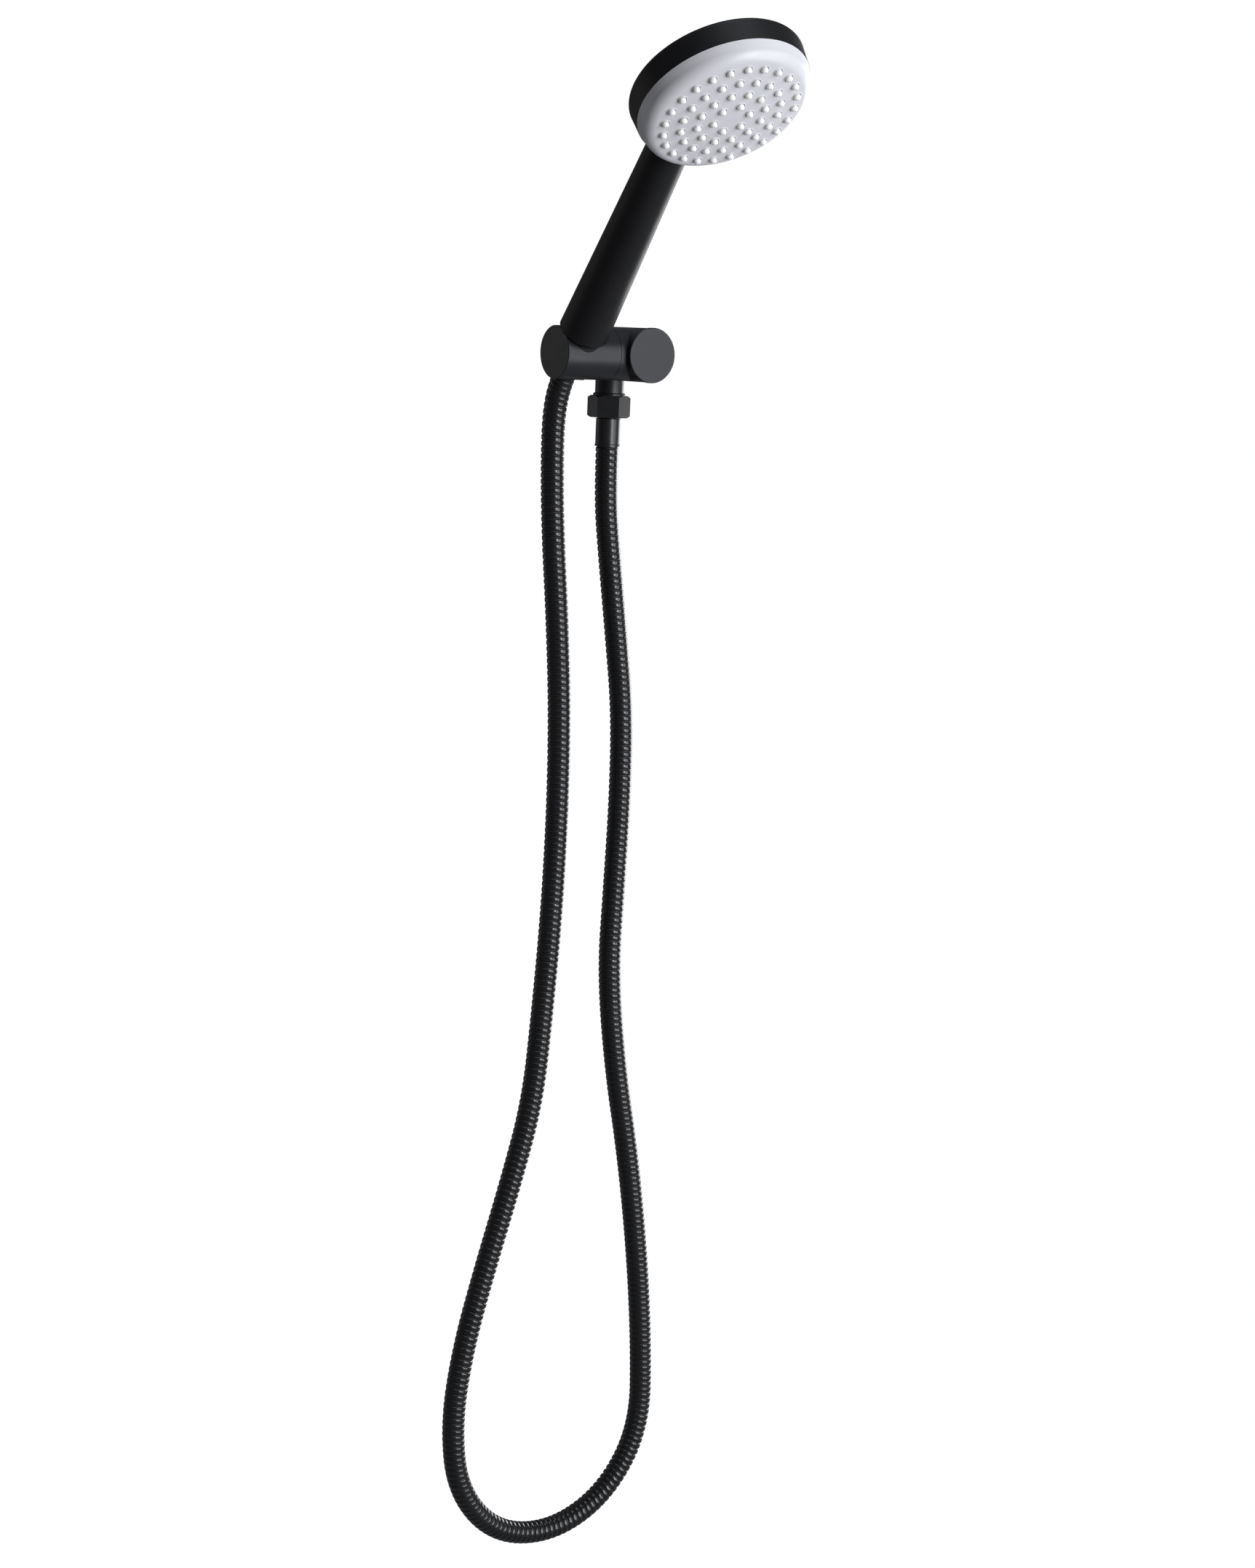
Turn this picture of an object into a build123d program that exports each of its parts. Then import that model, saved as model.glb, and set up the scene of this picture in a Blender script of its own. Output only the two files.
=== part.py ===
from build123d import *
import math
import os

# Handheld shower set: wall outlet with a tilting holder, a round-headed handset and a metal hose.
# Origin: where the inlet nipple enters the wall. +Y goes into the wall, +Z is up, +X is to the right.
# Sizes are in millimetres.

# ---- driving dimensions -------------------------------------------------------------------------
WALL_GAP = 50.0          # wall to the holder's tilt axis
BODY_R = 17.0            # round wall body, lying along Y
BARREL_R = 16.6          # stub and holder barrel, lying along X
FRONT_Y = 20.2           # tilt axis to the front cap's face
SEAM_X = 21.0            # body axis to the seam where the barrel turns
BARREL_END = 60.7        # body axis to the barrel's end face
SOCKET_X = -46.0         # body axis to the handle's axis
STEM_Y = 27.0            # tilt axis to the outlet stem, towards the wall
THREAD_R = 10.48         # half-inch pipe thread, outside
SCREWED_R = 10.45        # the same thread where it sits in its nut
NUT_FLATS = 24.0         # hexagon, across flats
HANDLE_LEAN = 37.3       # handle's lean from upright, away from the wall
FACE_LEAN = 36.5         # spray direction's lean from straight down, away from the wall
FACE_DROP = 40.6         # handle axis to the middle of the spray face
FACE_REACH = 202.6       # tilt axis to the middle of the spray face, along the handle
HOSE_R = 7.45
LINER_R = 5.2
NOZZLE_RING_R = 40.3     # outer ring of nozzles
RING_SHARES = (0.268, 0.508, 0.749, 1.0)
FIRST_RING = 6           # nozzles in the innermost ring; each ring outwards has as many more
NOZZLE_TURN = 1.9        # degrees from the top of the face to the first nozzle of every ring
NOZZLE_R = 2.2
NOZZLE_RISE = 0.45       # the face to the middle of a nozzle's round nose
HOLE_R = 2.7
LIP_R = 3.2              # raised lip round every hole in the face
LIP_RISE = 0.3
SLACK = 0.05             # running clearance on the radius

LEFT = Rot(0, -90, 0)    # a piece turned along Z then lies to the left, along -X
INWARD = Rot(-90, 0, 0)  # a piece turned along Z then points at the wall, along +Y
AT_BODY = Pos(0, -WALL_GAP, 0)
AT_STEM = Pos(0, STEM_Y - WALL_GAP, 0)
AT_HANDLE = Location((SOCKET_X, -WALL_GAP, 0), (HANDLE_LEAN, 0, 0))
AT_HEAD = AT_HANDLE * Location((0, -FACE_DROP, FACE_REACH), (180 - FACE_LEAN - HANDLE_LEAN, 0, 0))

# The hose leaves the socket along the handle, sags in a long loop beside the wall and rises to the nut.
HOSE_ROUTE = [
    (-46, -45.15, -6.36), (-46, -35.46, -19.09), (-46, -29.1, -38.1), (-45.6, -28.5, -68), (-43, -28, -112),
    (-37, -27.5, -168), (-32, -27, -230), (-30.5, -26.5, -297), (-32, -26, -366), (-36, -25.5, -430),
    (-41, -25, -492), (-56, -24.5, -547), (-73, -24, -602), (-88, -23.5, -656), (-95, -23, -708),
    (-88, -23, -757), (-57, -23, -793), (-11, -23, -802), (32, -23, -783), (59, -23, -740),
    (57, -23, -677), (50, -23, -609), (39, -23, -539), (26, -23, -478), (17, -23, -410),
    (19, -23, -354), (21, -23, -293), (20, -23, -234), (12, -23, -178), (4, -23, -124),
    (0, -23, -91.5), (0, -23, -59.3),
]


# ---- shared shapes ------------------------------------------------------------------------------
def turned(*outline):
    """A closed outline of (radius, height) points, turned about Z."""
    return revolve(Plane.XZ * make_face(Polyline(*outline, close=True)), axis=Axis.Z)


def tube(outer, inner, low, high):
    """A straight tube about Z between two heights."""
    return turned((inner, low), (outer, low), (outer, high), (inner, high))


def rod(radius, low, high):
    """A straight cylinder about Z between two heights."""
    return Pos(0, 0, low) * Cylinder(radius, high - low, align=(Align.CENTER, Align.CENTER, Align.MIN))


def ring(middle, thickness, height):
    """An O-ring about Z: the radius of its middle line, the radius of its cord, and its height."""
    return Pos(0, 0, height) * Torus(middle, thickness)


def save(name, place, solid):
    """Puts a piece in its place and writes it. A group of separate solids becomes one file."""
    placed = place * Compound(list(solid)) if isinstance(solid, list) else place * solid
    export_step(placed, f"parts/{name}.step")


# ---- wall outlet --------------------------------------------------------------------------------
BODY_BACK = WALL_GAP - 1.0
CAP_BACK = -17.0
PIVOT_R = 9.0
PIVOT_END = 27.5
SCREW_R = 3.0
STEM_R = 9.25
STEM_TOP = -9.3
NIPPLE_IN_R = 10.2
NIPPLE_IN = 36.5


def wall_body():
    """Hollow round body with the pivot stub on its left and a socket for the outlet stem below."""
    body = INWARD * rod(BODY_R, CAP_BACK, BODY_BACK)
    stub = LEFT * (rod(BARREL_R, 0, SEAM_X) + rod(PIVOT_R, SEAM_X, PIVOT_END))
    groove = LEFT * tube(PIVOT_R + 1, PIVOT_R - 1.75, 23.4, 25.4)
    screw_hole = LEFT * rod(SCREW_R, 13.0, PIVOT_END)
    cap_pocket = INWARD * rod(12.0, CAP_BACK, -11.5)
    chamber = INWARD * rod(9.0, 17.0, NIPPLE_IN)
    nipple_seat = INWARD * rod(NIPPLE_IN_R, NIPPLE_IN, BODY_BACK)
    stem_seat = Pos(0, STEM_Y, 0) * rod(STEM_R, -BODY_R - 1, STEM_TOP)
    way_down = Pos(0, STEM_Y, 0) * rod(6.0, STEM_TOP, 0)
    return body + stub - groove - screw_hole - cap_pocket - chamber - nipple_seat - stem_seat - way_down


def front_cap():
    """Round cover pressed into the front of the body, with a softened edge."""
    disc = turned((0, CAP_BACK), (17.0, CAP_BACK), (17.3, CAP_BACK - 0.3), (17.3, 0.4 - FRONT_Y),
                  (16.9, -FRONT_Y), (0, -FRONT_Y))
    return INWARD * (disc + tube(12.0, 10.2, CAP_BACK, -12.0))


def wall_gasket():
    """Thin rubber ring between the body and the wall."""
    return INWARD * tube(16.4, THREAD_R + 0.6, BODY_BACK, WALL_GAP)


def inlet_nipple():
    """Half-inch pipe nipple: one end in the body, the other in the wall's fitting."""
    inside = tube(NIPPLE_IN_R, 7.4, NIPPLE_IN, BODY_BACK)
    outside = tube(THREAD_R, 7.4, BODY_BACK, WALL_GAP + 12.0)
    return INWARD * (inside + outside)


def outlet_stem():
    """Neck below the body, ending in the pipe thread, bored for the check valve."""
    return turned((4.5, STEM_TOP), (STEM_R, STEM_TOP), (STEM_R, -25.2), (SCREWED_R - 0.6, -25.2),
                  (SCREWED_R, -25.8), (SCREWED_R, -36.4), (7.2, -36.4), (7.2, -14.0), (4.5, -14.0))


# ---- check valve in the stem --------------------------------------------------------------------
CAGE_TOP = -14.2
CAGE_FLOOR = -26.0
GUIDE_R = 1.6
POPPET_TOP = -16.3
POPPET_BACK = -17.8
SPRING_WIRE_R = 0.3
SPRING_R = 3.3
SPRING_TURNS = 6


def valve_cage():
    """Plastic sleeve with an inlet lip on top and a spoked floor that guides the poppet."""
    sleeve = turned((4.2, CAGE_TOP), (7.1, CAGE_TOP), (7.1, -28.0), (5.7, -28.0), (5.7, -16.2), (4.2, -16.2))
    hub = tube(3.4, GUIDE_R, -28.0, CAGE_FLOOR)
    spoke = Pos(4.6, 0, -27.0) * Box(2.8, 1.4, 2.0)
    return sleeve + hub + PolarLocations(0, 3) * spoke


def valve_poppet():
    """Disc on a stem that the water pushes down."""
    return rod(5.2, POPPET_BACK, POPPET_TOP) + rod(GUIDE_R - SLACK, -30.5, POPPET_BACK)


def valve_spring():
    """Light coil spring between the cage's floor and the poppet."""
    foot = CAGE_FLOOR + SPRING_WIRE_R + 0.05
    height = POPPET_BACK - CAGE_FLOOR - 2 * SPRING_WIRE_R - 0.1
    coil = Helix(height / SPRING_TURNS, height, SPRING_R)
    wire = Plane(origin=coil @ 0, z_dir=coil % 0) * Circle(SPRING_WIRE_R)
    return Pos(0, 0, foot) * sweep(wire, path=coil)


# ---- hose end at the nut ------------------------------------------------------------------------
NUT_TOP = -26.9
NUT_FLOOR = -40.9
FERRULE_R = 7.9
TAIL_R = 4.95
FERRULE_END = -59.3


def outlet_nut():
    """Hexagon nut with turned corners and a bottom lip that holds the hose tail."""
    hexagon = extrude(RegularPolygon(NUT_FLATS / 2, 6, major_radius=False, rotation=24), NUT_TOP - NUT_FLOOR)
    corner_r = NUT_FLATS / math.sqrt(3)
    envelope = turned((0, NUT_FLOOR), (12.1, NUT_FLOOR), (corner_r, NUT_FLOOR + 1.2), (corner_r, NUT_TOP - 1.2),
                      (12.1, NUT_TOP), (0, NUT_TOP))
    inside = rod(SCREWED_R, -39.6, NUT_TOP) + rod(7.3, NUT_FLOOR, -39.6)
    return (Pos(0, 0, NUT_FLOOR) * hexagon & envelope) - inside


def outlet_washer():
    """Rubber washer between the stem and the hose tail."""
    return tube(9.3, 5.0, -38.1, -36.4)


def nut_end_tail():
    """Brass tail of the hose: a flange under the nut, a neck and a spigot inside the ferrule."""
    return turned((3.6, -38.1), (9.7, -38.1), (9.7, -39.5), (7.0, -39.5), (7.0, -41.4), (TAIL_R, -41.4),
                  (TAIL_R, FERRULE_END), (3.6, FERRULE_END))


def outlet_ferrule():
    """Sleeve crimped on the hose below the nut, with a small lip at its mouth."""
    return turned((TAIL_R + SLACK, -41.4), (7.7, -41.4), (FERRULE_R, -41.8), (FERRULE_R, -57.9), (8.2, -58.3),
                  (8.2, FERRULE_END), (TAIL_R + SLACK, FERRULE_END))


# ---- tilting holder -----------------------------------------------------------------------------
BUSH_IN_R = 12.1
BUSH_OUT_R = 12.9
CAP_THICK = 1.3
SEAT_OFFSET = -0.49      # the seat's cone has a radius of its height along the handle plus this
SCREW_HEAD_R = 5.0
SCREW_HEAD_BACK = 30.4


def socket_place():
    """The handle's axis, seen from the barrel's own centre."""
    return Location((SOCKET_X, 0, 0), (HANDLE_LEAN, 0, 0))


def seat_cone():
    """The space of the handle's chamfer, cut into everything round the socket's mouth."""
    low, high = 11.0, 19.0
    return socket_place() * turned((0, low), (low + SEAT_OFFSET, low), (high + SEAT_OFFSET, high), (0, high))


def holder_barrel():
    """Barrel that turns on the stub, with a slanted socket right through it."""
    barrel = LEFT * rod(BARREL_R, SEAM_X + 0.3, BARREL_END - CAP_THICK)
    socket = socket_place() * rod(BUSH_OUT_R, -30, 30)
    bearing = LEFT * rod(PIVOT_R + SLACK, SEAM_X, PIVOT_END + 0.4)
    screw_way = LEFT * rod(SCREW_R + 0.3, SEAM_X, 40)
    head_way = LEFT * rod(SCREW_HEAD_R + 1.4, 29.6, -SOCKET_X)
    key_way = LEFT * rod(3.5, -SOCKET_X, BARREL_END)
    pegs = LEFT * cap_pegs()
    return barrel - socket - bearing - screw_way - head_way - key_way - pegs - seat_cone()


def socket_bush():
    """Plastic liner of the socket; its lip stands a little proud of the barrel."""
    liner = socket_place() * tube(BUSH_OUT_R, BUSH_IN_R, -30, 30)
    return (liner & LEFT * rod(BARREL_R + 0.4, 20, 70)) - seat_cone()


def cap_pegs():
    """Two pegs that hold the end cap, above and below the socket's line."""
    peg = rod(1.6, BARREL_END - 4.6, BARREL_END - CAP_THICK)
    across = math.radians(HANDLE_LEAN)
    step = (12.5 * math.sin(across), 12.5 * math.cos(across))
    return Pos(step[0], step[1], 0) * peg + Pos(-step[0], -step[1], 0) * peg


def end_cap():
    """Thin disc that closes the barrel's end and hides the pivot screw's key way."""
    inner = BARREL_END - CAP_THICK
    disc = turned((0, inner), (BARREL_R, inner), (BARREL_R, BARREL_END - 0.4), (BARREL_R - 0.4, BARREL_END),
                  (0, BARREL_END))
    return LEFT * (disc + cap_pegs()) - seat_cone()


def friction_washer():
    """Nylon washer in the seam, so that the barrel turns stiffly without wear."""
    return LEFT * tube(15.4, PIVOT_R + 0.3, SEAM_X, SEAM_X + 0.22)


def pivot_o_ring():
    """Rubber ring in the pivot's groove."""
    return LEFT * ring(PIVOT_R - 0.9, 0.82, 24.4)


def pivot_screw():
    """Low-headed socket screw that holds the barrel on the pivot."""
    head = rod(SCREW_HEAD_R, SCREW_HEAD_BACK, 32.9)
    key = extrude(RegularPolygon(2.0, 6), 1.6)
    return LEFT * (head + rod(SCREW_R, 14.0, SCREW_HEAD_BACK) - Pos(0, 0, 31.3) * key)


def spring_washer():
    """Spring washer under the screw's head."""
    return LEFT * tube(6.0, SCREW_R + 0.15, 29.65, SCREW_HEAD_BACK)


# ---- hose end at the handset --------------------------------------------------------------------
def cone_tail():
    """Brass tail of the hose that spins in the cone nut."""
    return turned((3.6, -1.2), (9.3, -1.2), (9.3, -2.3), (7.0, -2.3), (7.0, -2.9), (TAIL_R, -2.9),
                  (TAIL_R, -7.7), (3.6, -7.7))


def cone_ferrule():
    """Short sleeve crimped on the hose inside the cone nut's mouth."""
    return tube(7.6, TAIL_R + SLACK, -7.7, -2.9)


def slide_ring():
    """Plastic ring that the hose tail's flange turns on."""
    return tube(9.3, 7.8, -2.75, -2.35)


# ---- handset ------------------------------------------------------------------------------------
HANDLE_END = 12.74       # the handle's lower face, along the handle
SHOULDER = 16.7          # where the handle reaches its full radius
NUT_R = 11.9
INSERT_R = 11.2
INSERT_TOP = 34.0
NECK = 159.0             # where the handle's axis runs in behind the head
BEND = 150.0             # where the water tube bends into the head
HEAD_PLANE = -26.9       # the handle axis's height in the head, after the neck
RIM_Z = -26.5
RIM_R = 53.2
BACK_Z = -42.0
FACE_R = 44.0
DOME_SAG = 0.00155       # the face falls away by this times the radius squared
MAT_TOP = -8.5
PLATE_TOP = -10.5
CHAMBER_TOP = -13.0
LEDGE_TOP = -15.0
LEDGE_BACK = -18.0
PLATE_R = 48.2
SCREW_RING_R = 46.2
POCKET_R = 50.2
CUP_R = 37.0
TUBE_R = 6.0


def handle_r(along):
    """The handle's outer radius, which falls gently towards the head."""
    return 16.2 - 0.0204 * along


def dome(radius):
    """Height of the spray face at a radius."""
    return -DOME_SAG * radius * radius


def in_head(solid):
    """Moves a piece of the head from the head's own frame to the handle's."""
    return Location((0, -FACE_DROP, FACE_REACH), (180 - FACE_LEAN - HANDLE_LEAN, 0, 0)) * solid


def ridge(radius, reach):
    """The handle's run behind the face, rounded off at the middle of the head."""
    run = Pos(0, -reach, HEAD_PLANE) * Rot(-90, 0, 0) * rod(radius, 0, reach)
    return run + Pos(0, 0, HEAD_PLANE) * Sphere(radius)


def back_line(rim_r, rim_z, back_z):
    """The head's domed back, from its rim to its middle."""
    shoulder = (rim_r - 4.0, rim_z - 3.6)
    middle = (rim_r * 0.55, back_z + (rim_z - back_z) * 0.23)
    edge = ThreePointArc((rim_r, rim_z), (rim_r - 1.1, rim_z - 2.4), shoulder)
    return [edge, ThreePointArc(shoulder, middle, (0, back_z))]


def head_solid(front_r, front_z, rim_r, rim_z, back_z):
    """A round head filled solid: flared side wall and domed back."""
    lines = [Line((0, front_z), (front_r, front_z)), Line((front_r, front_z), (rim_r, rim_z))]
    lines += back_line(rim_r, rim_z, back_z) + [Line((0, back_z), (0, front_z))]
    return revolve(Plane.XZ * make_face(lines), axis=Axis.Z)


def handset_body():
    """One moulding: tapered handle, head shell with its open front, and the ridge between them."""
    handle = turned((0, HANDLE_END), (handle_r(SHOULDER) - SHOULDER + HANDLE_END, HANDLE_END),
                    (handle_r(SHOULDER), SHOULDER), (handle_r(NECK), NECK), (0, NECK))
    neck = Pos(0, 0, NECK) * Sphere(handle_r(NECK))
    outside = handle + neck + in_head(ridge(handle_r(NECK), 53) + head_solid(52.4, -14.4, RIM_R, RIM_Z, BACK_Z))
    hollow = turned((0, INSERT_TOP), (handle_r(INSERT_TOP) - 2.8, INSERT_TOP), (handle_r(NECK) - 2.8, NECK), (0, NECK))
    hollow += rod(INSERT_R, HANDLE_END, INSERT_TOP)
    hollow += Pos(0, 0, NECK) * Sphere(handle_r(NECK) - 2.6)
    hollow += in_head(ridge(handle_r(NECK) - 2.6, 53))
    back_room = head_solid(50.0, LEDGE_BACK, RIM_R - 2.6, RIM_Z, BACK_Z + 2.6)
    front_room = rod(POCKET_R, LEDGE_TOP, 0) + rod(CUP_R + 1.0, LEDGE_BACK, LEDGE_TOP) + rod(52.4, -14.4, 0)
    return outside - hollow - in_head(back_room + front_room + screw_ring(1.3, LEDGE_BACK, LEDGE_TOP))


def inlet_insert():
    """Threaded bush in the handle's end, with the water tube's socket at its top."""
    return turned((6.5, 0.7), (SCREWED_R, 0.7), (SCREWED_R, HANDLE_END), (INSERT_R, HANDLE_END),
                  (INSERT_R, INSERT_TOP), (TUBE_R, INSERT_TOP), (TUBE_R, 27.0), (4.6, 27.0), (4.6, 22.0), (6.5, 22.0))


def cone_washer():
    """Rubber washer between the insert and the hose tail."""
    return tube(9.2, 5.0, -1.15, 0.7)


def cone_nut():
    """Tapered nut that joins the hose to the handset and fills the socket."""
    return turned((7.75, -6.6), (NUT_R - 0.9, -6.6), (NUT_R, HANDLE_END - 0.3), (NUT_R - 0.3, HANDLE_END),
                  (SCREWED_R, HANDLE_END), (SCREWED_R, 0.4), (9.4, 0.4), (9.4, -2.8), (7.75, -2.8))


def flow_regulator():
    """Small cup with a central pin and a ring of holes that limits the flow."""
    cup = rod(6.4, 14.0, 19.0) - rod(4.8, 15.5, 19.0) + rod(1.6, 15.5, 18.0)
    return cup - PolarLocations(3.2, 6) * rod(0.7, 14.0, 15.5)


def filter_washer():
    """Rubber-rimmed sieve above the regulator."""
    holes = GridLocations(2.2, 2.2, 4, 4) * rod(0.7, 20.0, 21.0)
    return tube(6.4, 5.2, 19.4, 21.4) + rod(5.3, 20.0, 21.0) - holes


def water_tube():
    """Inner pipe from the insert up the handle, bent into the head's chamber."""
    low = Vector(0, 0, 27.0)
    bend = Vector(0, 0, BEND)
    lean = math.radians(90 - FACE_LEAN - HANDLE_LEAN)
    toward = Vector(0, -math.sin(lean), math.cos(lean))
    end = bend + toward * 26.0
    path = FilletPolyline(low, bend, end, radius=60.0)
    section = Plane(origin=low, z_dir=(0, 0, 1)) * (Circle(TUBE_R - SLACK) - Circle(TUBE_R - 1.4))
    return sweep(section, path=path)


def nozzle_spots():
    """(x, y, radius) of every nozzle: rings of 6, 12, 18 and 24 that share one ray."""
    spots = []
    for number, share in enumerate(RING_SHARES, start=1):
        count = FIRST_RING * number
        for step in range(count):
            angle = math.radians(90 + NOZZLE_TURN + 360 * step / count)
            radius = NOZZLE_RING_R * share
            spots.append((radius * math.cos(angle), radius * math.sin(angle), radius))
    return spots


def screw_ring(radius, low, high):
    """One rod at each screw that holds the inner plate."""
    return PolarLocations(SCREW_RING_R, 6, start_angle=30) * rod(radius, low, high)


def spray_face():
    """Grey domed plate with a broad rounded rim and a hole with a raised lip for every nozzle."""
    top = ThreePointArc((0, 0), (FACE_R / 2, dome(FACE_R / 2)), (FACE_R, dome(FACE_R)))
    round_rim = ThreePointArc((FACE_R, dome(FACE_R)), (48.9, -5.3), (50.9, -9.6))
    under = [(50.9, -9.6), (52.2, -14.2), (49.9, -14.2), (49.9, -12.9), (48.6, -12.9), (48.6, -8.0),
             (46.0, -5.8), (0, -2.4), (0, 0)]
    face = make_face([top, round_rim, Polyline(*under)])
    plate = revolve(Plane.XZ * face, axis=Axis.Z)
    lip = turned((0, -0.6), (LIP_R, -0.6), (LIP_R, LIP_RISE / 3), (LIP_R - 0.17, LIP_RISE), (0, LIP_RISE))
    tilt = 2 * DOME_SAG
    for x, y, radius in nozzle_spots():
        plate += Plane(origin=(x, y, dome(radius)), z_dir=(tilt * x, tilt * y, 1)) * lip
    for x, y, radius in nozzle_spots():
        plate -= Pos(x, y, dome(radius)) * rod(HOLE_R, -4.5, 2.0)
    return plate


def nozzle_mat():
    """White silicone mat with a round-nosed nozzle at every hole of the face."""
    mat = rod(44.1, PLATE_TOP, MAT_TOP)
    for x, y, radius in nozzle_spots():
        tip = dome(radius) + NOZZLE_RISE
        mat += Pos(x, y, 0) * (rod(NOZZLE_R, MAT_TOP, tip) + Pos(0, 0, tip) * Sphere(NOZZLE_R))
        mat -= Pos(x, y, 0) * rod(0.5, PLATE_TOP, tip + 3)
    return mat


def distributor_plate():
    """Stiff plate behind the mat that feeds each nozzle."""
    plate = rod(PLATE_R, CHAMBER_TOP, PLATE_TOP) - screw_ring(1.6, CHAMBER_TOP, PLATE_TOP)
    for x, y, radius in nozzle_spots():
        plate -= Pos(x, y, 0) * rod(0.9, CHAMBER_TOP, PLATE_TOP)
    return plate


def plate_screws():
    """Six screws that clamp the plate and the chamber to the shell's ledge."""
    screw = rod(1.9, PLATE_TOP, PLATE_TOP + 1.4) + rod(1.25, LEDGE_BACK + 0.2, PLATE_TOP)
    return PolarLocations(SCREW_RING_R, 6, start_angle=30) * screw


def water_chamber():
    """Cup behind the plate, with a side socket for the water tube."""
    cup = rod(PLATE_R, LEDGE_TOP + 0.05, CHAMBER_TOP) + rod(CUP_R, -31.5, CHAMBER_TOP)
    hollow = rod(CUP_R - 2.0, -29.5, CHAMBER_TOP)
    height = HEAD_PLANE + math.sin(math.radians(90 - FACE_LEAN - HANDLE_LEAN)) * (NECK - BEND)
    inlet = Pos(0, 0, height) * Rot(90, 0, 0) * rod(TUBE_R + 0.2, 30.0, 40.0)
    groove = tube(43.3, 41.3, CHAMBER_TOP - 1.5, CHAMBER_TOP)
    return cup - hollow - inlet - groove - screw_ring(1.6, LEDGE_TOP, CHAMBER_TOP)


def chamber_seal():
    """O-ring between the chamber and the plate."""
    return ring(42.3, 0.74, CHAMBER_TOP - 0.75)


# ---- hose ---------------------------------------------------------------------------------------
def hose_path():
    """Straight runs joined by tangent arcs, each as large as its two runs allow."""
    points = [Vector(*p) for p in HOSE_ROUTE]
    radii = []
    for before, here, after in zip(points, points[1:], points[2:]):
        turn = math.radians((here - before).get_angle(after - here))
        shorter = min((here - before).length, (after - here).length)
        radii.append(0.45 * shorter / math.tan(turn / 2))
    print("hose radii", [round(r) for r in radii])
    return FilletPolyline(*points, radius=radii)


def hose_tube(path, outer, inner):
    """A hollow tube along the hose's path."""
    start = Plane(origin=path @ 0, z_dir=path % 0)
    solid = sweep(start * (Circle(outer) - Circle(inner)), path=path)
    wanted = math.pi * (outer * outer - inner * inner) * path.length
    print("hose length", round(path.length), "volume share", round(solid.volume / wanted, 4))
    return solid


os.makedirs("parts", exist_ok=True)

save("wall_body", AT_BODY, wall_body())
save("front_cap", AT_BODY, front_cap())
save("wall_gasket", AT_BODY, wall_gasket())
save("inlet_nipple", AT_BODY, inlet_nipple())
save("friction_washer", AT_BODY, friction_washer())
save("pivot_o_ring", AT_BODY, pivot_o_ring())
save("pivot_screw", AT_BODY, pivot_screw())
save("spring_washer", AT_BODY, spring_washer())

save("outlet_stem", AT_STEM, outlet_stem())
save("valve_cage", AT_STEM, valve_cage())
save("valve_poppet", AT_STEM, valve_poppet())
save("valve_spring", AT_STEM, valve_spring())
save("outlet_nut", AT_STEM, outlet_nut())
save("outlet_washer", AT_STEM, outlet_washer())
save("nut_end_tail", AT_STEM, nut_end_tail())
save("outlet_ferrule", AT_STEM, outlet_ferrule())

save("holder_barrel", AT_BODY, holder_barrel())
save("socket_bush", AT_BODY, socket_bush())
save("end_cap", AT_BODY, end_cap())

save("cone_tail", AT_HANDLE, cone_tail())
save("cone_ferrule", AT_HANDLE, cone_ferrule())
save("slide_ring", AT_HANDLE, slide_ring())
save("cone_nut", AT_HANDLE, cone_nut())
save("cone_washer", AT_HANDLE, cone_washer())
save("inlet_insert", AT_HANDLE, inlet_insert())
save("flow_regulator", AT_HANDLE, flow_regulator())
save("filter_washer", AT_HANDLE, filter_washer())
save("water_tube", AT_HANDLE, water_tube())
save("handset_body", AT_HANDLE, handset_body())

save("water_chamber", AT_HEAD, water_chamber())
save("chamber_seal", AT_HEAD, chamber_seal())
save("distributor_plate", AT_HEAD, distributor_plate())
save("plate_screws", AT_HEAD, plate_screws())
save("nozzle_mat", AT_HEAD, nozzle_mat())
save("spray_face", AT_HEAD, spray_face())

route = hose_path()
save("shower_hose", Location(), hose_tube(route, HOSE_R, LINER_R + 0.1))
save("hose_liner", Location(), hose_tube(route, LINER_R, LINER_R - 1.4))
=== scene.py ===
import math

import bmesh
import bpy
import numpy as np
from mathutils import Matrix, Vector


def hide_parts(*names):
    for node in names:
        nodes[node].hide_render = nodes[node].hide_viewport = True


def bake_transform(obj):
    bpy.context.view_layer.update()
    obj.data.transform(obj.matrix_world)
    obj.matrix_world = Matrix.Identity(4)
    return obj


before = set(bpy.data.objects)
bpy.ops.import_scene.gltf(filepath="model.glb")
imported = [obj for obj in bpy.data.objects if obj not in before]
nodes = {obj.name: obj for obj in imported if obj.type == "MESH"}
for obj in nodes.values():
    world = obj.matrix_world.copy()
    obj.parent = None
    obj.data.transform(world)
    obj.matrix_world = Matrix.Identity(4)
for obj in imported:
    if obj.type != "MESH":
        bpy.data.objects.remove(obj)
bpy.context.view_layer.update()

# ---- studio -------------------------------------------------------------------------------------
# A pale floor well below the hanging hose and pale surroundings. The soft panels are a tall one in
# front, two at the right, one above, a large one behind at the right and a weak one behind.
FLOOR_Z = -0.95
FLOOR_HALF = 9.0
LENS = 63.26
CAMERA_AT = (-1.00423, -1.50990, 0.01414)
CAMERA_YAW = math.radians(34.735)
CAMERA_PITCH = math.radians(-9.313)
CAMERA_ROLL = math.radians(2.318)
SURROUNDINGS_LIGHT = 0.17    # what the surroundings give off; the camera sees them plain white
FLOOR_SHADES = (0.30, 0.33)


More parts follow.
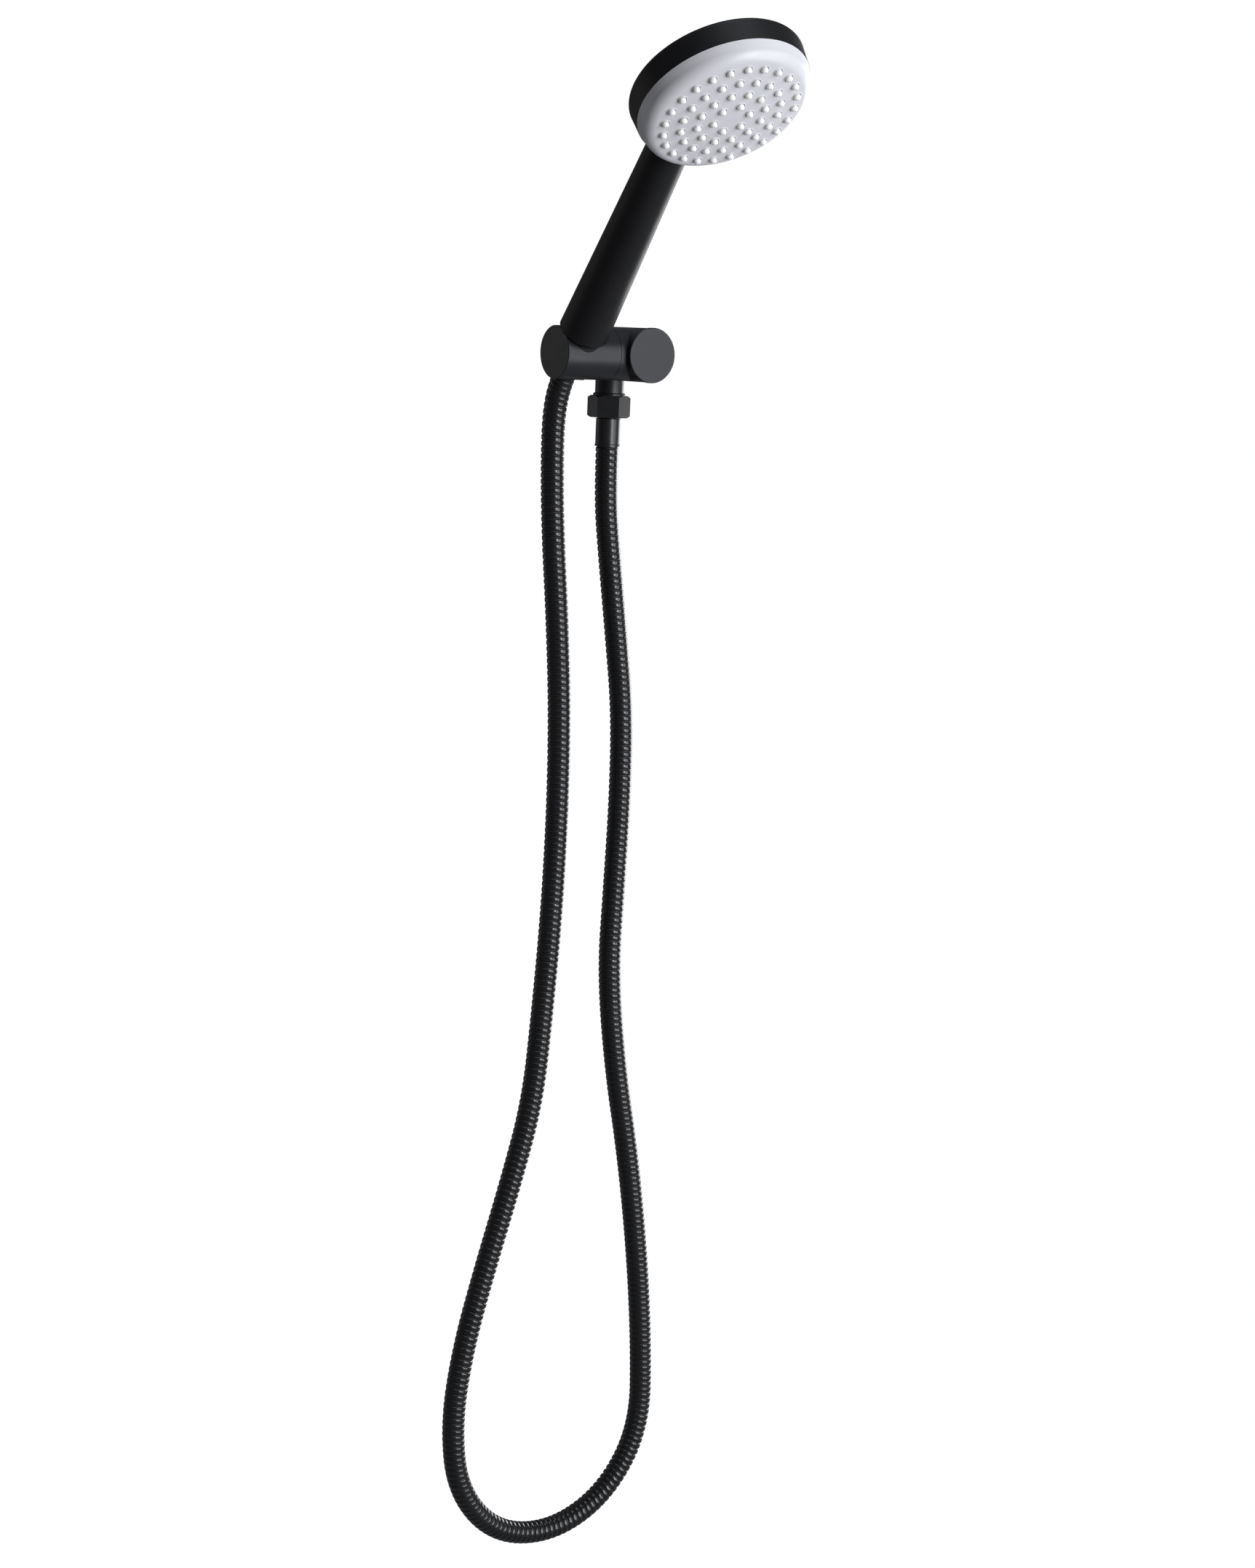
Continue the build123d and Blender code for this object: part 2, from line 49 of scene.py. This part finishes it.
def panel(name, place, aim, width, height, power, colour):
    """A rectangular soft light at a place, turned so that it faces its aim."""
    light = bpy.data.lights.new(name, "AREA")
    light.shape = "RECTANGLE"
    light.size = width
    light.size_y = height
    light.energy = power
    light.color = colour
    lamp = bpy.data.objects.new(name, light)
    bpy.context.scene.collection.objects.link(lamp)
    lamp.location = place
    lamp.rotation_mode = "QUATERNION"
    lamp.rotation_quaternion = (Vector(aim) - Vector(place)).to_track_quat("-Z", "Y")
    return lamp


panel("panel_front", (0.3, -2.1, 0.0), (0.0, -0.1, 0.0), 0.4, 1.5, 33.0, (0.96, 0.97, 1.0))
panel("panel_right", (1.25, -1.85, 0.30), (0.0, -0.1, 0.0), 0.8, 1.4, 15.0, (0.92, 0.95, 1.0))
panel("panel_low_right", (0.95, -1.55, -0.75), (0.0, -0.1, 0.1), 0.6, 0.6, 9.0, (0.96, 0.97, 1.0))
panel("panel_top", (0.1, -0.5, 1.7), (0.0, -0.1, 0.0), 1.0, 0.8, 10.0, (0.88, 0.93, 1.0))
panel("panel_back", (2.1, 0.65, -0.2), (0.0, -0.05, -0.1), 1.2, 1.6, 32.0, (0.97, 0.98, 1.0))
panel("panel_behind", (-1.35, 1.75, -0.2), (0.0, -0.05, 0.0), 1.1, 1.4, 2.0, (1.0, 0.99, 0.98))

world = bpy.data.worlds.new("pale_surroundings")
world.use_nodes = True
bpy.context.scene.world = world
tree = world.node_tree
tree.nodes.clear()
seen = tree.nodes.new("ShaderNodeBackground")
seen.inputs["Color"].default_value = (1.0, 1.0, 1.0, 1.0)
seen.inputs["Strength"].default_value = 1.0
lit = tree.nodes.new("ShaderNodeBackground")
lit.inputs["Color"].default_value = (0.93, 0.95, 1.0, 1.0)
lit.inputs["Strength"].default_value = SURROUNDINGS_LIGHT
rays = tree.nodes.new("ShaderNodeLightPath")
either = tree.nodes.new("ShaderNodeMixShader")
result = tree.nodes.new("ShaderNodeOutputWorld")
tree.links.new(rays.outputs["Is Camera Ray"], either.inputs["Fac"])
tree.links.new(lit.outputs["Background"], either.inputs[1])
tree.links.new(seen.outputs["Background"], either.inputs[2])
tree.links.new(either.outputs["Shader"], result.inputs["Surface"])

floor_mesh = bpy.data.meshes.new("floor")
floor_mesh.from_pydata(
    [(-FLOOR_HALF, -FLOOR_HALF, FLOOR_Z), (FLOOR_HALF, -FLOOR_HALF, FLOOR_Z),
     (FLOOR_HALF, FLOOR_HALF, FLOOR_Z), (-FLOOR_HALF, FLOOR_HALF, FLOOR_Z)], [], [(0, 1, 2, 3)])
floor = bpy.data.objects.new("floor", floor_mesh)
bpy.context.scene.collection.objects.link(floor)
paint = bpy.data.materials.new("pale_floor")
paint.use_nodes = True
matt = paint.node_tree.nodes["Principled BSDF"]
matt.inputs["Roughness"].default_value = 0.9
matt.inputs["Specular IOR Level"].default_value = 0.1
speck = paint.node_tree.nodes.new("ShaderNodeTexNoise")
speck.inputs["Scale"].default_value = 3.0
shade = paint.node_tree.nodes.new("ShaderNodeMapRange")
shade.inputs["To Min"].default_value = FLOOR_SHADES[0]
shade.inputs["To Max"].default_value = FLOOR_SHADES[1]
where = paint.node_tree.nodes.new("ShaderNodeTexCoord")
paint.node_tree.links.new(where.outputs["Object"], speck.inputs["Vector"])
paint.node_tree.links.new(speck.outputs["Fac"], shade.inputs["Value"])
paint.node_tree.links.new(shade.outputs["Result"], matt.inputs["Base Color"])
bright = paint.node_tree.nodes.new("ShaderNodeEmission")
bright.inputs["Strength"].default_value = 1.0
floor_rays = paint.node_tree.nodes.new("ShaderNodeLightPath")
floor_mix = paint.node_tree.nodes.new("ShaderNodeMixShader")
floor_result = paint.node_tree.nodes["Material Output"]
paint.node_tree.links.new(floor_rays.outputs["Is Camera Ray"], floor_mix.inputs["Fac"])
paint.node_tree.links.new(matt.outputs["BSDF"], floor_mix.inputs[1])
paint.node_tree.links.new(bright.outputs["Emission"], floor_mix.inputs[2])
paint.node_tree.links.new(floor_mix.outputs["Shader"], floor_result.inputs["Surface"])
floor_mesh.materials.append(paint)

camera = bpy.data.objects.new("camera", bpy.data.cameras.new("camera"))
camera.data.lens = LENS
camera.data.clip_start = 0.05
camera.data.clip_end = 60.0
turn = (Matrix.Rotation(-CAMERA_YAW, 4, "Z") @ Matrix.Rotation(math.pi / 2 + CAMERA_PITCH, 4, "X")
        @ Matrix.Rotation(CAMERA_ROLL, 4, "Z"))
camera.matrix_world = Matrix.Translation(CAMERA_AT) @ turn
bpy.context.scene.collection.objects.link(camera)
bpy.context.scene.camera = camera
bpy.context.scene.view_settings.view_transform = "Standard"

# ---- wall outlet --------------------------------------------------------------------------------
# Turned brass body, stub, front cap and outlet neck, baked in satin black powder paint. The cured
# paint has a fine orange peel, tiny pits, and a colour that drifts a little from part to part.
METAL_TONE = (0.0085, 0.0087, 0.0112)
METAL_GLOSS = 0.40
PEEL_SIZE = 0.0011
PEEL_DEPTH = 0.06
BUMP_HEIGHT = 0.0002     # metres of height at a bump strength of one


def skin_group():
    """Node group for any moulded or painted skin. Drift is broad noise minus a half, and mottle is
    middle noise minus a half. Colour is the tone times (one plus the spread times (drift plus half the
    mottle)). Roughness is the gloss plus a tenth of the mottle. Height is fine noise plus a third of a
    finer one; Grain is the size of the fine noise in metres."""
    group = bpy.data.node_groups.new("skin", "ShaderNodeTree")
    for name, kind in (("Vector", "NodeSocketVector"), ("Tone", "NodeSocketColor"),
                       ("Spread", "NodeSocketFloat"), ("Gloss", "NodeSocketFloat"),
                       ("Grain", "NodeSocketFloat")):
        group.interface.new_socket(name=name, in_out="INPUT", socket_type=kind)
    for name, kind in (("Colour", "NodeSocketColor"), ("Roughness", "NodeSocketFloat"),
                       ("Height", "NodeSocketFloat")):
        group.interface.new_socket(name=name, in_out="OUTPUT", socket_type=kind)
    new, link = group.nodes.new, group.links.new
    given, made = new("NodeGroupInput"), new("NodeGroupOutput")

    def noise(scale, detail):
        """A noise of the group's vector; the scale is a number, or a node output that gives it."""
        texture = new("ShaderNodeTexNoise")
        texture.inputs["Detail"].default_value = detail
        link(given.outputs["Vector"], texture.inputs["Vector"])
        if isinstance(scale, (int, float)):
            texture.inputs["Scale"].default_value = scale
        else:
            link(scale, texture.inputs["Scale"])
        return texture.outputs["Fac"]

    def math_node(operation, *terms):
        """One Math node on numbers or node outputs."""
        node = new("ShaderNodeMath")
        node.operation = operation
        for socket, term in zip(node.inputs, terms):
            if isinstance(term, (int, float)):
                socket.default_value = term
            else:
                link(term, socket)
        return node.outputs["Value"]

    fine_scale = math_node("DIVIDE", 1.0, given.outputs["Grain"])
    finer_scale = math_node("DIVIDE", 2.7, given.outputs["Grain"])
    broad, middle = noise(24.0, 3.0), noise(170.0, 2.0)
    drift = math_node("SUBTRACT", broad, 0.5)
    mottle = math_node("SUBTRACT", middle, 0.5)
    both = math_node("ADD", drift, math_node("MULTIPLY", mottle, 0.5))
    share = math_node("ADD", math_node("MULTIPLY", both, given.outputs["Spread"]), 1.0)
    tinted = new("ShaderNodeVectorMath")
    tinted.operation = "SCALE"
    link(given.outputs["Tone"], tinted.inputs[0])
    link(share, tinted.inputs["Scale"])
    link(tinted.outputs["Vector"], made.inputs["Colour"])
    rough = math_node("ADD", math_node("MULTIPLY", mottle, 0.1), given.outputs["Gloss"])
    link(rough, made.inputs["Roughness"])
    fine = math_node("ADD", noise(fine_scale, 2.0), math_node("MULTIPLY", noise(finer_scale, 1.0), 0.33))
    link(fine, made.inputs["Height"])
    return group


SKIN = skin_group()


def skinned(name, tone, gloss, spread, grain, depth, specular=0.5):
    """A material whose colour, roughness and bump come from the skin group on Object coordinates."""
    material = bpy.data.materials.new(name)
    material.use_nodes = True
    new, link = material.node_tree.nodes.new, material.node_tree.links.new
    shader = material.node_tree.nodes["Principled BSDF"]
    shader.inputs["Specular IOR Level"].default_value = specular
    place, skin, bump = new("ShaderNodeTexCoord"), new("ShaderNodeGroup"), new("ShaderNodeBump")
    skin.node_tree = SKIN
    skin.inputs["Tone"].default_value = (*tone, 1.0)
    skin.inputs["Spread"].default_value = spread
    skin.inputs["Gloss"].default_value = gloss
    skin.inputs["Grain"].default_value = grain
    bump.inputs["Strength"].default_value = depth
    bump.inputs["Distance"].default_value = BUMP_HEIGHT
    link(place.outputs["Object"], skin.inputs["Vector"])
    link(skin.outputs["Colour"], shader.inputs["Base Color"])
    link(skin.outputs["Roughness"], shader.inputs["Roughness"])
    link(skin.outputs["Height"], bump.inputs["Height"])
    link(bump.outputs["Normal"], shader.inputs["Normal"])
    return material


def finish_nodes(material, *names):
    """Gives CAD nodes their material through their objects' slots."""
    for name in names:
        nodes[name].material_slots[0].material = material


METAL_SPECULAR = 0.32
black_paint = skinned("black_paint", METAL_TONE, METAL_GLOSS, 0.5, PEEL_SIZE, PEEL_DEPTH, METAL_SPECULAR)
finish_nodes(black_paint, "wall_body", "front_cap", "outlet_stem")

# ---- seals --------------------------------------------------------------------------------------
# Black rubber: the gasket behind the body, the pivot's ring, the flat washers and the head's seal.
# Moulded in a bead-blasted tool, so it is dull, with a slightly dusty grey tone.
rubber = skinned("seal_rubber", (0.016, 0.016, 0.016), 0.78, 0.8, 0.0006, 0.25, 0.35)
finish_nodes(rubber, "wall_gasket", "pivot_o_ring", "outlet_washer", "cone_washer", "chamber_seal")

# ---- bare brass ---------------------------------------------------------------------------------
# The wall nipple, the hose tails and the handset's threaded insert are turned from bar and left
# bare: fine rings from the tool run round each axis, and a threaded bore dulls the highlights.
BRASS_TONE = (0.62, 0.42, 0.17)
STEEL_TONE = (0.52, 0.52, 0.50)
TOOL_PITCH = 0.00035
TOOL_GROOVE = 0.00006
WAVE_SCALE = 0.314       # a wave texture of scale one repeats every this many metres


def turned_metal(name, tone, gloss, axis):
    """Bare metal with tool rings: waves that run along the axis, on Object coordinates turned so that
    the axis is the pattern's Z, on top of the skin group's drift of colour."""
    material = skinned(name, tone, gloss, 0.35, 0.0004, 0.15)
    new, link = material.node_tree.nodes.new, material.node_tree.links.new
    material.node_tree.nodes["Principled BSDF"].inputs["Metallic"].default_value = 1.0
    place = material.node_tree.nodes["Texture Coordinate"]
    turning, wave, groove = new("ShaderNodeMapping"), new("ShaderNodeTexWave"), new("ShaderNodeBump")
    upright = Vector(axis).rotation_difference(Vector((0, 0, 1)))
    turning.inputs["Rotation"].default_value = upright.to_euler()
    wave.bands_direction = "Z"
    wave.inputs["Scale"].default_value = WAVE_SCALE / TOOL_PITCH
    wave.inputs["Distortion"].default_value = 0.6
    groove.inputs["Strength"].default_value = 0.35
    groove.inputs["Distance"].default_value = TOOL_GROOVE
    link(place.outputs["Object"], turning.inputs["Vector"])
    link(turning.outputs["Vector"], wave.inputs["Vector"])
    link(wave.outputs["Fac"], groove.inputs["Height"])
    link(material.node_tree.nodes["Bump"].outputs["Normal"], groove.inputs["Normal"])
    link(groove.outputs["Normal"], material.node_tree.nodes["Principled BSDF"].inputs["Normal"])
    return material


HANDLE_AXIS = (0.0, -0.605988, 0.795473)
SPRAY_AXIS = (0.0, -0.5948, -0.8039)
finish_nodes(turned_metal("brass_in_wall", BRASS_TONE, 0.28, (0, 1, 0)), "inlet_nipple")
finish_nodes(turned_metal("blackened_brass", (0.03, 0.027, 0.024), 0.36, (0, 0, 1)), "nut_end_tail")
finish_nodes(turned_metal("brass_in_handle", BRASS_TONE, 0.28, HANDLE_AXIS), "cone_tail", "cone_ferrule",
             "inlet_insert")

# ---- check valve --------------------------------------------------------------------------------
# A small cage and poppet in natural acetal, with a stainless coil spring drawn from bright wire.
acetal = skinned("natural_acetal", (0.66, 0.65, 0.60), 0.42, 0.12, 0.0007, 0.1)
finish_nodes(acetal, "valve_cage", "valve_poppet")
finish_nodes(turned_metal("spring_wire", STEEL_TONE, 0.2, (0, 0, 1)), "valve_spring")

# ---- outlet nut and hose ferrule ----------------------------------------------------------------
# The hexagon nut and the crimped ferrule are brass under the same black paint, a little glossier
# where fingers and spanners rub them.
HANDLED_TONE = (0.0080, 0.0082, 0.0100)
handled_paint = skinned("handled_black_paint", HANDLED_TONE, 0.34, 0.6, PEEL_SIZE, PEEL_DEPTH, 0.45)
finish_nodes(handled_paint, "outlet_nut", "outlet_ferrule")

# ---- tilting holder -----------------------------------------------------------------------------
# Painted barrel and end cap on a stainless screw and spring washer, with a nylon friction washer
# in the seam and a black acetal bush that lines the handset's socket.
finish_nodes(black_paint, "holder_barrel", "end_cap")
black_acetal = skinned("black_acetal", (0.004, 0.004, 0.0045), 0.6, 0.3, 0.0006, 0.08, 0.2)
finish_nodes(black_acetal, "socket_bush")
finish_nodes(turned_metal("turned_steel", STEEL_TONE, 0.25, (1, 0, 0)), "pivot_screw", "spring_washer")
nylon = skinned("nylon", (0.55, 0.54, 0.50), 0.5, 0.1, 0.0008, 0.1)
finish_nodes(nylon, "friction_washer", "slide_ring")

# ---- hose ---------------------------------------------------------------------------------------
# Interlocked hose: one strip of black-coated steel wound in a spiral. Each turn is a broad, gently
# rounded ring hooked over the next, with a narrow groove between. It hangs from socket to nut.
HOSE_ROUTE = [
    (-0.046, -0.04515, -0.00636), (-0.046, -0.03546, -0.01909), (-0.046, -0.0291, -0.0381),
    (-0.0456, -0.0285, -0.068), (-0.043, -0.028, -0.112), (-0.037, -0.0275, -0.168),
    (-0.032, -0.027, -0.230), (-0.0305, -0.0265, -0.297), (-0.032, -0.026, -0.366),
    (-0.036, -0.0255, -0.430), (-0.041, -0.025, -0.492), (-0.056, -0.0245, -0.547),
    (-0.073, -0.024, -0.602), (-0.088, -0.0235, -0.656), (-0.095, -0.023, -0.708),
    (-0.088, -0.023, -0.757), (-0.057, -0.023, -0.793), (-0.011, -0.023, -0.802),
    (0.032, -0.023, -0.783), (0.059, -0.023, -0.740), (0.057, -0.023, -0.677),
    (0.050, -0.023, -0.609), (0.039, -0.023, -0.539), (0.026, -0.023, -0.478),
    (0.017, -0.023, -0.410), (0.019, -0.023, -0.354), (0.021, -0.023, -0.293),
    (0.020, -0.023, -0.234), (0.012, -0.023, -0.178), (0.004, -0.023, -0.124),
    (0.0, -0.023, -0.0915), (0.0, -0.023, -0.0593),
]
HOSE_DIAMETER = 0.0149
STRIP_PITCH = 0.0040
HOSE_SIDES = 22
GROOVE_DEPTHS = (0.25, 0.8)  # millimetres below the outside over which the coat turns dull
GROOVE_DULLNESS = 0.3
TOP_LENGTH = 0.092       # the part that slides with the handset
# One turn of the strip: share of the pitch, and depth below the outside in millimetres.
STRIP_SHAPE = ((0.00, 0.75), (0.04, 0.30), (0.14, 0.08), (0.40, 0.0), (0.66, 0.08), (0.80, 0.30),
               (0.84, 0.75), (0.92, 0.80))


def route_line():
    """Points and distances along the hose's line: a NURBS of order 3 through its two end points, with
    the route's points as its control points."""
    line = bpy.data.curves.new("hose_line", "CURVE")
    line.dimensions = "3D"
    line.resolution_u = 48
    spline = line.splines.new("NURBS")
    spline.points.add(len(HOSE_ROUTE) - 1)
    for point, place in zip(spline.points, HOSE_ROUTE):
        point.co = (*place, 1.0)
    spline.order_u = 3
    spline.use_endpoint_u = True
    carrier = bpy.data.objects.new("hose_line", line)
    mesh = bpy.data.meshes.new_from_object(carrier)
    points = np.zeros(len(mesh.vertices) * 3)
    mesh.vertices.foreach_get("co", points)
    points = points.reshape(-1, 3)
    bpy.data.objects.remove(carrier)
    bpy.data.meshes.remove(mesh)
    steps = np.linalg.norm(np.diff(points, axis=0), axis=1)
    return points, np.concatenate([[0.0], np.cumsum(steps)])


line_points, line_lengths = route_line()
hose_length = float(line_lengths[-1])
line_heads = np.gradient(line_points, line_lengths, axis=0)
line_heads /= np.linalg.norm(line_heads, axis=1)[:, None]
line_sides = np.cross(line_heads, (0.0, 1.0, 0.0))
line_sides /= np.linalg.norm(line_sides, axis=1)[:, None]
line_backs = np.cross(line_sides, line_heads)


def at_length(values, length):
    """A vector that goes with the hose's line, at given distances along it."""
    return np.stack([np.interp(length, line_lengths, values[:, k]) for k in range(3)], axis=-1)


def wound_hose(name, begin, end):
    """Part of the hose between two distances. Row i and column j of the grid lie at distance
    (turn + share of the shape's point + angle over a full turn) times the pitch, held between the two
    ends, and at the outer radius less the shape's depth there. Column after column the rows climb by
    one turn, so that the rings run round in one spiral; flat lids close both ends."""
    shares = np.array([p[0] for p in STRIP_SHAPE])
    depths = np.array([p[1] for p in STRIP_SHAPE]) / 1000
    per_turn = len(shares)
    first = math.floor(begin / STRIP_PITCH) - 1
    rows = (math.ceil(end / STRIP_PITCH) - first + 1) * per_turn
    row, column = np.meshgrid(np.arange(rows), np.arange(HOSE_SIDES), indexing="ij")
    angle = 2 * math.pi * column / HOSE_SIDES
    length = (first + row // per_turn + shares[row % per_turn] + column / HOSE_SIDES) * STRIP_PITCH
    length = np.clip(length, begin, end)
    depth = np.interp(length / STRIP_PITCH - column / HOSE_SIDES, shares, depths, period=1.0)
    radius = (HOSE_DIAMETER / 2 - depth)[..., None]
    outward = np.cos(angle)[..., None] * at_length(line_sides, length)
    outward += np.sin(angle)[..., None] * at_length(line_backs, length)
    corner = (at_length(line_points, length) + radius * outward).reshape(-1, 3)
    low, here = row[:-1].ravel(), column[:-1].ravel()
    over = (here + 1) % HOSE_SIDES
    climb = np.where(over == 0, per_turn, 0)
    near, far = np.minimum(low + climb, rows - 1), np.minimum(low + 1 + climb, rows - 1)
    faces = np.stack([low * HOSE_SIDES + here, (low + 1) * HOSE_SIDES + here, far * HOSE_SIDES + over,
                      near * HOSE_SIDES + over], axis=1)
    mesh = bpy.data.meshes.new(name)
    mesh.from_pydata(corner.tolist(), [], faces.tolist())
    mesh.attributes.new("depth", "FLOAT", "POINT").data.foreach_set("value", depth.ravel() * 1000)
    mesh.attributes.new("run", "FLOAT", "POINT").data.foreach_set("value", length.ravel())
    work = bmesh.new()
    work.from_mesh(mesh)
    bmesh.ops.remove_doubles(work, verts=work.verts, dist=1e-6)
    bmesh.ops.dissolve_degenerate(work, edges=work.edges, dist=1e-7)
    for face in work.faces:
        face.smooth = True
    rims = [edge for edge in work.edges if edge.is_boundary]
    for edge in rims:
        edge.smooth = False
    for face in bmesh.ops.holes_fill(work, edges=rims, sides=0)["faces"]:
        face.smooth = False
    bmesh.ops.recalc_face_normals(work, faces=work.faces)
    work.to_mesh(mesh)
    work.free()
    piece = bpy.data.objects.new(name, mesh)
    bpy.context.scene.collection.objects.link(piece)
    return piece


def bend_along(piece):
    """Bakes the piece's placement into its mesh and reads its distances along the hose into an array
    that nothing uses.
    """
    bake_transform(piece)
    run = np.zeros(len(piece.data.vertices), np.float32)
    piece.data.attributes["run"].data.foreach_get("value", run)


hose_coat = skinned("hose_coat", (0.0045, 0.0046, 0.0056), 0.24, 0.4, 0.0014, 0.02)
coat_skin = hose_coat.node_tree.nodes["Group"]
deep = hose_coat.node_tree.nodes.new("ShaderNodeAttribute")
deep.attribute_name = "depth"
dull = hose_coat.node_tree.nodes.new("ShaderNodeMapRange")
dull.inputs["From Min"].default_value = GROOVE_DEPTHS[0]
dull.inputs["From Max"].default_value = GROOVE_DEPTHS[1]
dull.inputs["To Min"].default_value = 0.0
dull.inputs["To Max"].default_value = GROOVE_DULLNESS
rough = hose_coat.node_tree.nodes.new("ShaderNodeMath")
rough.operation = "ADD"
hose_coat.node_tree.links.new(deep.outputs["Fac"], dull.inputs["Value"])
hose_coat.node_tree.links.new(dull.outputs["Result"], rough.inputs[0])
hose_coat.node_tree.links.new(coat_skin.outputs["Roughness"], rough.inputs[1])
hose_coat.node_tree.links.new(rough.outputs["Value"],
                              hose_coat.node_tree.nodes["Principled BSDF"].inputs["Roughness"])

hose_top = wound_hose("hose_top", 0.0, TOP_LENGTH)
hose = wound_hose("hose", TOP_LENGTH, hose_length)
for part in (hose_top, hose):
    part.data.materials.append(hose_coat)
bend_along(hose_top)
bend_along(hose)
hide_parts("shower_hose", "hose_liner")

# ---- handset ------------------------------------------------------------------------------------
# Handle and head shell are one moulding in matte black plastic, soft to the touch, with a fine
# spark-eroded grain. The cone nut below it is moulded in the same plastic.
matte_black = skinned("matte_black_plastic", (0.0045, 0.0045, 0.0054), 0.50, 0.4, 0.0005, 0.10, 0.25)
finish_nodes(matte_black, "handset_body", "cone_nut")

# ---- water way in the handset -------------------------------------------------------------------
# Regulator, sieve, inner pipe, chamber and distributor plate in natural plastics; six plated
# screws hold the plate and the chamber to the shell.
finish_nodes(acetal, "flow_regulator", "filter_washer", "water_tube")
finish_nodes(skinned("chamber_plastic", (0.58, 0.58, 0.56), 0.45, 0.12, 0.0008, 0.12), "water_chamber",
             "distributor_plate")
finish_nodes(turned_metal("plated_screws", STEEL_TONE, 0.22, SPRAY_AXIS), "plate_screws")

# ---- nozzle mat ---------------------------------------------------------------------------------
# Soft white silicone: sixty round-nosed nozzles on one mat, a little translucent, slightly dull.
silicone = skinned("white_silicone", (0.84, 0.83, 0.82), 0.42, 0.05, 0.0007, 0.06)
soft = silicone.node_tree.nodes["Principled BSDF"]
soft.inputs["Subsurface Weight"].default_value = 0.35
soft.inputs["Subsurface Radius"].default_value = (0.0012, 0.0011, 0.0010)
soft.inputs["Subsurface Scale"].default_value = 1.0
finish_nodes(silicone, "nozzle_mat")

# ---- spray face ---------------------------------------------------------------------------------
# Light grey ABS plate with a broad rounded rim, moulded smooth with a satin, faintly grained skin.
grey_abs = skinned("light_grey_plate", (0.58, 0.58, 0.605), 0.38, 0.05, 0.0006, 0.05)
finish_nodes(grey_abs, "spray_face")
